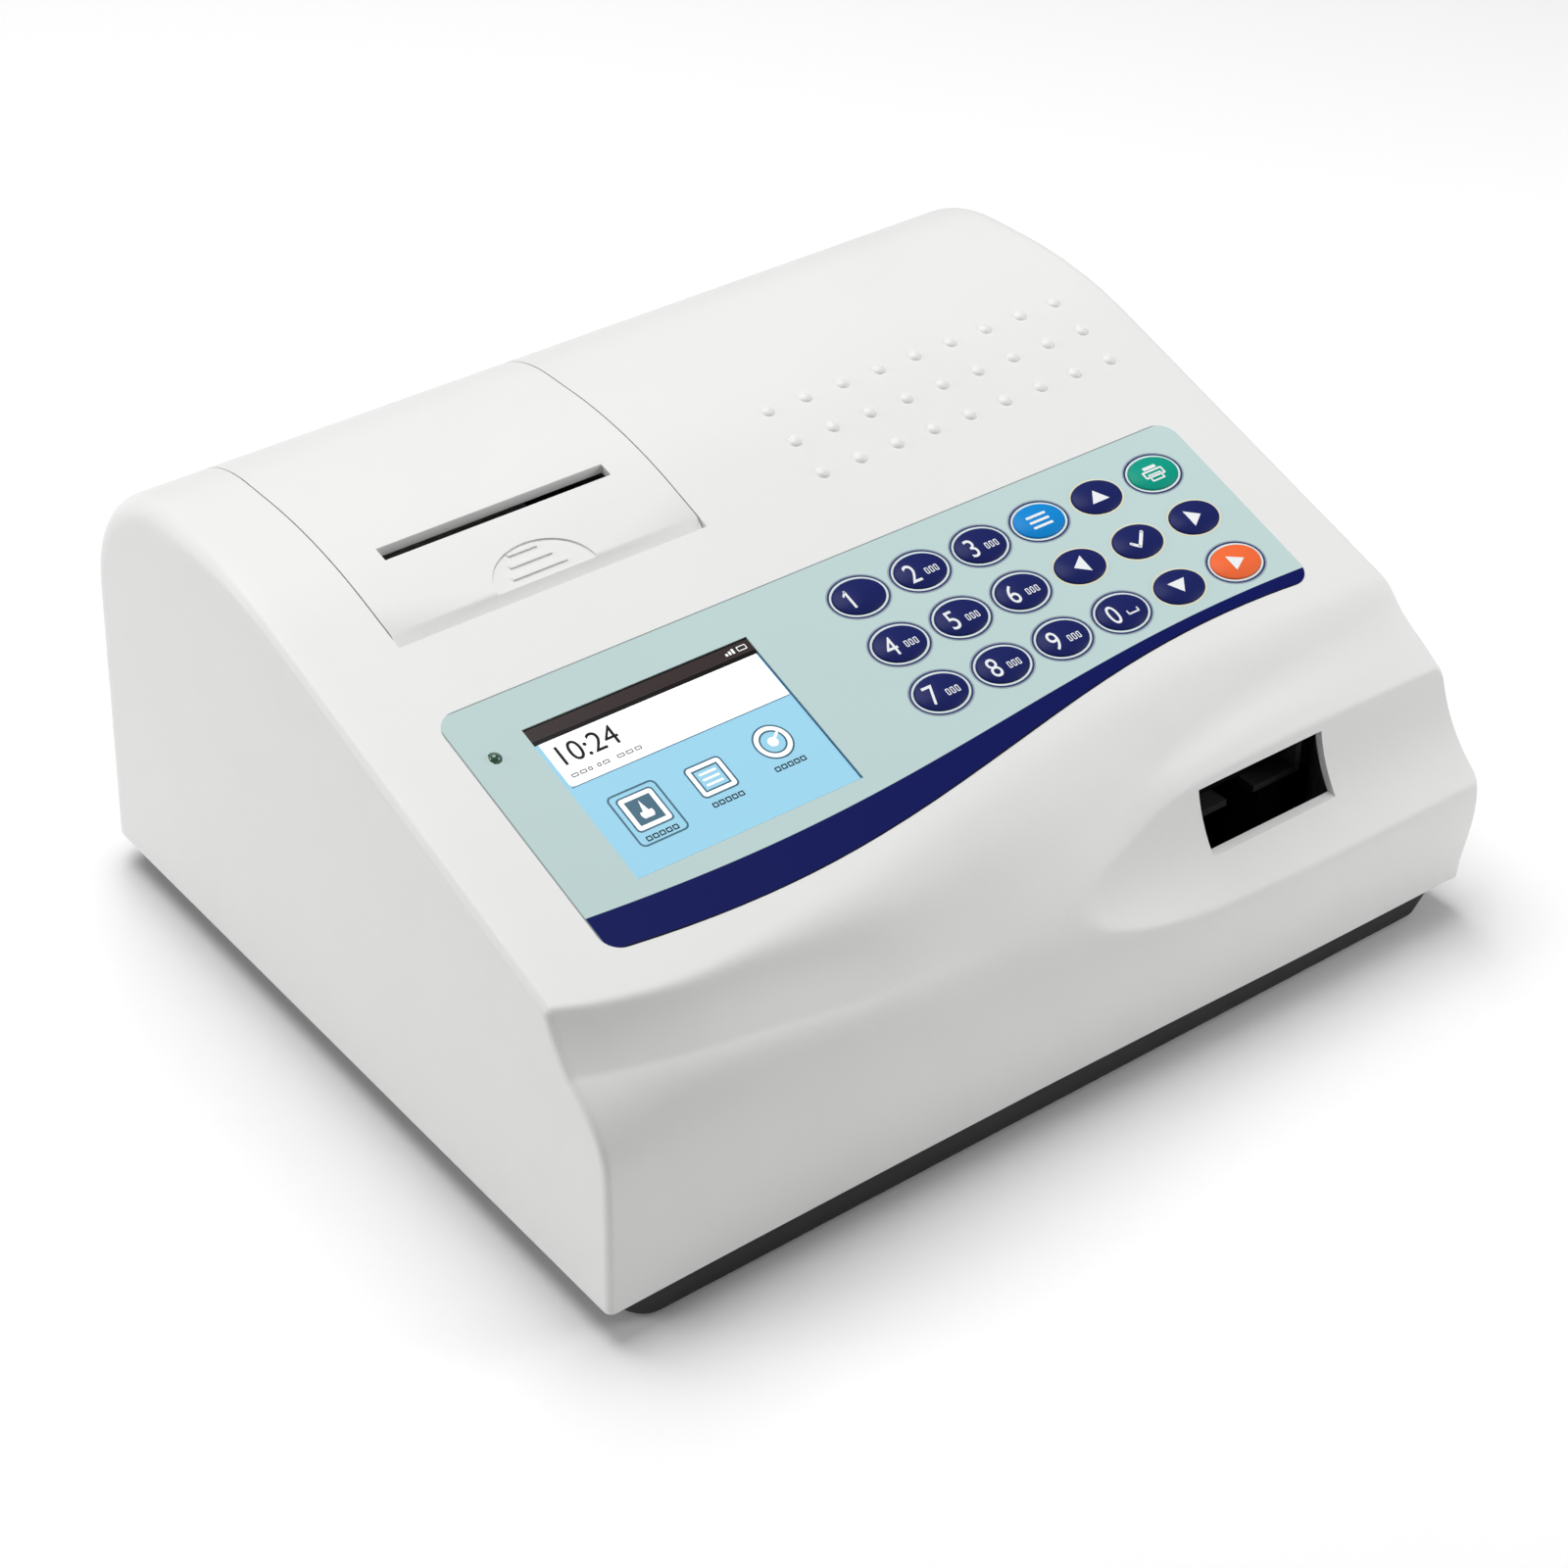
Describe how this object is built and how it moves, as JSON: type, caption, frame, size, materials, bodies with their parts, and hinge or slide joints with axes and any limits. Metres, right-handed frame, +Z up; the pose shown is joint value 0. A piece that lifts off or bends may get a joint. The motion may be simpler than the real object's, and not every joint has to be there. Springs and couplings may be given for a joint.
{
  "type": "urine analyzer",
  "caption": "Bench-top urine strip analyzer with a sloped keypad panel, colour screen, strip tray in a scooped front opening and a built-in paper printer under a hinged roof cover.",
  "frame": {"origin": "on the bench surface under the feet, at the middle of the body's outline", "axes": "+X to the right as the operator faces it, +Y from the front towards the rear ports, +Z up"},
  "size_m": [0.2944, 0.2573, 0.1374],
  "materials": {
    "white_shell": "fine moulded texture",
    "printed_film": "satin printed film",
    "clear_pane": "clear polished",
    "display_glass": "lit display",
    "key_caps": "satin",
    "circuit_board": "solder mask",
    "power_circuit_board": "bare laminate",
    "black_plastic": "moulded",
    "grey_plastic": "moulded",
    "gear_plastic": "moulded acetal",
    "lever_plastic": "moulded",
    "tray_plastic": "moulded",
    "carrier_plastic": "moulded",
    "motor_black": "black lacquer",
    "lamp_lens": "tinted",
    "steel": "zinc plated",
    "aluminium": "as machined",
    "brass": "as turned",
    "connector_metal": "nickel plated",
    "rubber": "matt",
    "paper": "smooth",
    "base_black": "moulded"
  },
  "bodies": {
    "case": {"base_pan": "base_black", "board_screws": "steel", "case_screws": "steel", "display_board": "circuit_board", "display_module": "display_glass", "display_pane": "clear_pane", "head_springs": "steel", "hinge_pins": "steel", "jack_screws": "steel", "keypad_board": "circuit_board", "keypad_switches": "black_plastic", "main_board": "circuit_board", "membrane_overlay": "printed_film", "optics_board": "circuit_board", "optics_head": "black_plastic", "paper_bay": "grey_plastic", "power_board": "power_circuit_board", "power_inlet": "black_plastic", "print_frame": "steel", "print_head": "aluminium", "print_motor": "steel", "rubber_feet": "rubber", "serial_port": "connector_metal", "status_led": "lamp_lens", "switch_housing": "black_plastic", "top_housing": "white_shell", "transport_frame": "grey_plastic", "tray_motor": "motor_black", "usb_port": "connector_metal"},
    "cover": {"printer_cover": "white_shell"},
    "platen": {"platen_shaft": "steel", "platen_roller": "rubber", "platen_gear": "gear_plastic"},
    "idler": {"idler_gear": "gear_plastic"},
    "print_pinion": {"print_motor_pinion": "brass"},
    "lever": {"release_lever": "lever_plastic"},
    "paper": {"paper_roll": "paper", "paper_spindle": "black_plastic"},
    "tray": {"strip_tray": "tray_plastic", "strip_carrier": "carrier_plastic"},
    "tray_drive": {"tray_pinion": "gear_plastic"},
    "rocker": {"power_rocker": "black_plastic"},
    "press_1": {"key_1": "key_caps"},
    "press_2": {"key_2": "key_caps"},
    "press_3": {"key_3": "key_caps"},
    "press_menu": {"key_menu": "key_caps"},
    "press_up": {"key_up": "key_caps"},
    "press_print": {"key_print": "key_caps"},
    "press_4": {"key_4": "key_caps"},
    "press_5": {"key_5": "key_caps"},
    "press_6": {"key_6": "key_caps"},
    "press_left": {"key_left": "key_caps"},
    "press_ok": {"key_ok": "key_caps"},
    "press_right": {"key_right": "key_caps"},
    "press_7": {"key_7": "key_caps"},
    "press_8": {"key_8": "key_caps"},
    "press_9": {"key_9": "key_caps"},
    "press_0": {"key_0": "key_caps"},
    "press_down": {"key_down": "key_caps"},
    "press_start": {"key_start": "key_caps"}
  },
  "joints": [
    {"name": "cover_hinge", "type": "hinge", "parent": "case", "child": "cover", "pos_m": [-0.06815, 0.12055, 0.09538], "axis": [-1, 0, 0], "range_deg": [0, 88]},
    {"name": "tray_slide", "type": "slide", "parent": "case", "child": "tray", "axis": [0, -1, 0], "range_m": [0, 0.085]},
    {"name": "tray_pinion_spin", "type": "hinge", "parent": "case", "child": "tray_drive", "pos_m": [0.0763, -0.034, 0.05], "axis": [1, 0, 0], "range_deg": [-0.5, 610]},
    {"name": "platen_spin", "type": "hinge", "parent": "case", "child": "platen", "pos_m": [-0.06815, 0.037, 0.118], "axis": [1, 0, 0], "continuous": true},
    {"name": "idler_spin", "type": "hinge", "parent": "case", "child": "idler", "pos_m": [-0.03315, 0.03394, 0.10067], "axis": [1, 0, 0], "continuous": true},
    {"name": "print_pinion_spin", "type": "hinge", "parent": "case", "child": "print_pinion", "pos_m": [-0.03315, 0.02041, 0.09574], "axis": [1, 0, 0], "continuous": true},
    {"name": "lever_swing", "type": "hinge", "parent": "case", "child": "lever", "pos_m": [-0.10115, 0.028, 0.1], "axis": [1, 0, 0], "range_deg": [0, 35]},
    {"name": "paper_spin", "type": "hinge", "parent": "case", "child": "paper", "pos_m": [-0.06815, 0.082, 0.094], "axis": [1, 0, 0], "continuous": true},
    {"name": "rocker_tilt", "type": "hinge", "parent": "case", "child": "rocker", "pos_m": [0.072, 0.118, 0.041], "axis": [-1, 0, 0], "range_deg": [0, 16]},
    {"name": "1_travel", "type": "slide", "parent": "case", "child": "press_1", "axis": [0, 0.313, -0.9498], "range_m": [0, 0.0005], "stiffness_N_per_m": 600, "springref_m": -0.0005},
    {"name": "2_travel", "type": "slide", "parent": "case", "child": "press_2", "axis": [0, 0.313, -0.9498], "range_m": [0, 0.0005], "stiffness_N_per_m": 600, "springref_m": -0.0005},
    {"name": "3_travel", "type": "slide", "parent": "case", "child": "press_3", "axis": [0, 0.313, -0.9498], "range_m": [0, 0.0005], "stiffness_N_per_m": 600, "springref_m": -0.0005},
    {"name": "menu_travel", "type": "slide", "parent": "case", "child": "press_menu", "axis": [0, 0.313, -0.9498], "range_m": [0, 0.0005], "stiffness_N_per_m": 600, "springref_m": -0.0005},
    {"name": "up_travel", "type": "slide", "parent": "case", "child": "press_up", "axis": [0, 0.313, -0.9498], "range_m": [0, 0.0005], "stiffness_N_per_m": 600, "springref_m": -0.0005},
    {"name": "print_travel", "type": "slide", "parent": "case", "child": "press_print", "axis": [0, 0.313, -0.9498], "range_m": [0, 0.0005], "stiffness_N_per_m": 600, "springref_m": -0.0005},
    {"name": "4_travel", "type": "slide", "parent": "case", "child": "press_4", "axis": [0, 0.313, -0.9498], "range_m": [0, 0.0005], "stiffness_N_per_m": 600, "springref_m": -0.0005},
    {"name": "5_travel", "type": "slide", "parent": "case", "child": "press_5", "axis": [0, 0.313, -0.9498], "range_m": [0, 0.0005], "stiffness_N_per_m": 600, "springref_m": -0.0005},
    {"name": "6_travel", "type": "slide", "parent": "case", "child": "press_6", "axis": [0, 0.313, -0.9498], "range_m": [0, 0.0005], "stiffness_N_per_m": 600, "springref_m": -0.0005},
    {"name": "left_travel", "type": "slide", "parent": "case", "child": "press_left", "axis": [0, 0.313, -0.9498], "range_m": [0, 0.0005], "stiffness_N_per_m": 600, "springref_m": -0.0005},
    {"name": "ok_travel", "type": "slide", "parent": "case", "child": "press_ok", "axis": [0, 0.313, -0.9498], "range_m": [0, 0.0005], "stiffness_N_per_m": 600, "springref_m": -0.0005},
    {"name": "right_travel", "type": "slide", "parent": "case", "child": "press_right", "axis": [0, 0.313, -0.9498], "range_m": [0, 0.0005], "stiffness_N_per_m": 600, "springref_m": -0.0005},
    {"name": "7_travel", "type": "slide", "parent": "case", "child": "press_7", "axis": [0, 0.313, -0.9498], "range_m": [0, 0.0005], "stiffness_N_per_m": 600, "springref_m": -0.0005},
    {"name": "8_travel", "type": "slide", "parent": "case", "child": "press_8", "axis": [0, 0.313, -0.9498], "range_m": [0, 0.0005], "stiffness_N_per_m": 600, "springref_m": -0.0005},
    {"name": "9_travel", "type": "slide", "parent": "case", "child": "press_9", "axis": [0, 0.313, -0.9498], "range_m": [0, 0.0005], "stiffness_N_per_m": 600, "springref_m": -0.0005},
    {"name": "0_travel", "type": "slide", "parent": "case", "child": "press_0", "axis": [0, 0.313, -0.9498], "range_m": [0, 0.0005], "stiffness_N_per_m": 600, "springref_m": -0.0005},
    {"name": "down_travel", "type": "slide", "parent": "case", "child": "press_down", "axis": [0, 0.313, -0.9498], "range_m": [0, 0.0005], "stiffness_N_per_m": 600, "springref_m": -0.0005},
    {"name": "start_travel", "type": "slide", "parent": "case", "child": "press_start", "axis": [0, 0.313, -0.9498], "range_m": [0, 0.0005], "stiffness_N_per_m": 600, "springref_m": -0.0005}
  ],
  "couplings": [
    {"joint": "tray_pinion_spin", "follows": "tray_slide", "rad_per_m": 125},
    {"joint": "idler_spin", "follows": "platen_spin", "ratio": -0.83333},
    {"joint": "print_pinion_spin", "follows": "platen_spin", "ratio": 1.6667}
  ]
}
